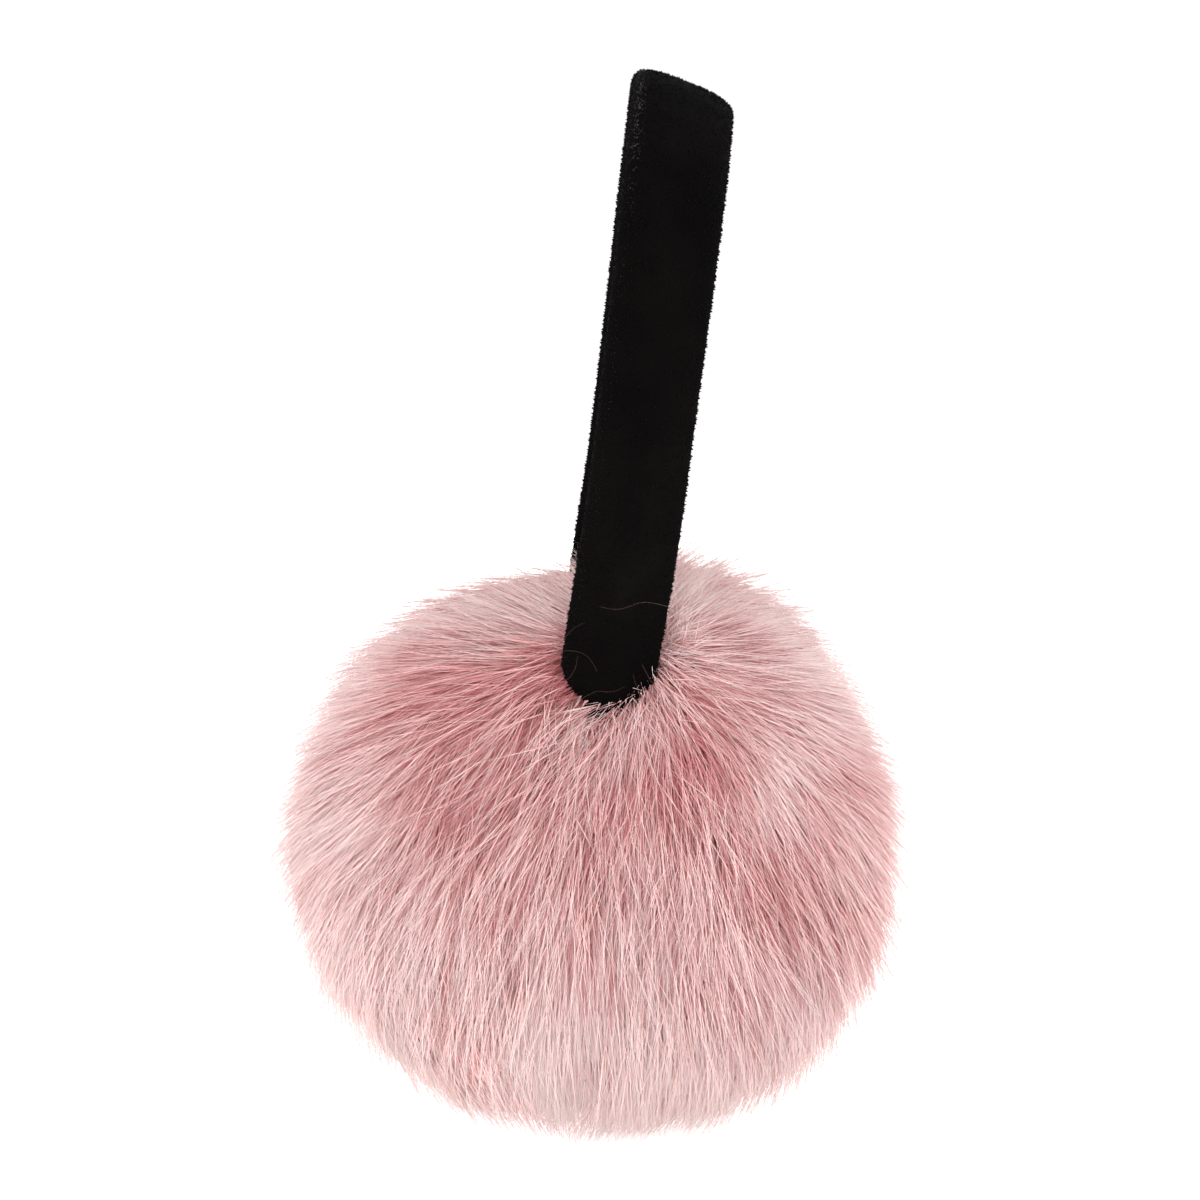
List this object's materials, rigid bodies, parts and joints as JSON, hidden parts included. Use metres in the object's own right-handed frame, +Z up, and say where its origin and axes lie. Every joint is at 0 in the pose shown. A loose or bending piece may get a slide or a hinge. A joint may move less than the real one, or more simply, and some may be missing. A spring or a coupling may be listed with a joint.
{
  "type": "fur earmuffs",
  "caption": "Round long-pile fur earmuffs joined by a padded velvet headband that arches over the head.",
  "frame": {"origin": "middle of the base, on the surface that the two cups stand on", "axes": "+Z up from the cups to the top of the headband, +X toward the wearer's left ear, -Y the way that the wearer faces"},
  "size_m": [0.1902, 0.1322, 0.2202],
  "materials": {
    "fur": "long soft pile, dusty pink",
    "velvet": "short black pile"
  },
  "bodies": {
    "root": {"fur_cup_left": "fur", "fur_cup_right": "fur", "headband": "velvet"}
  },
  "joints": []
}
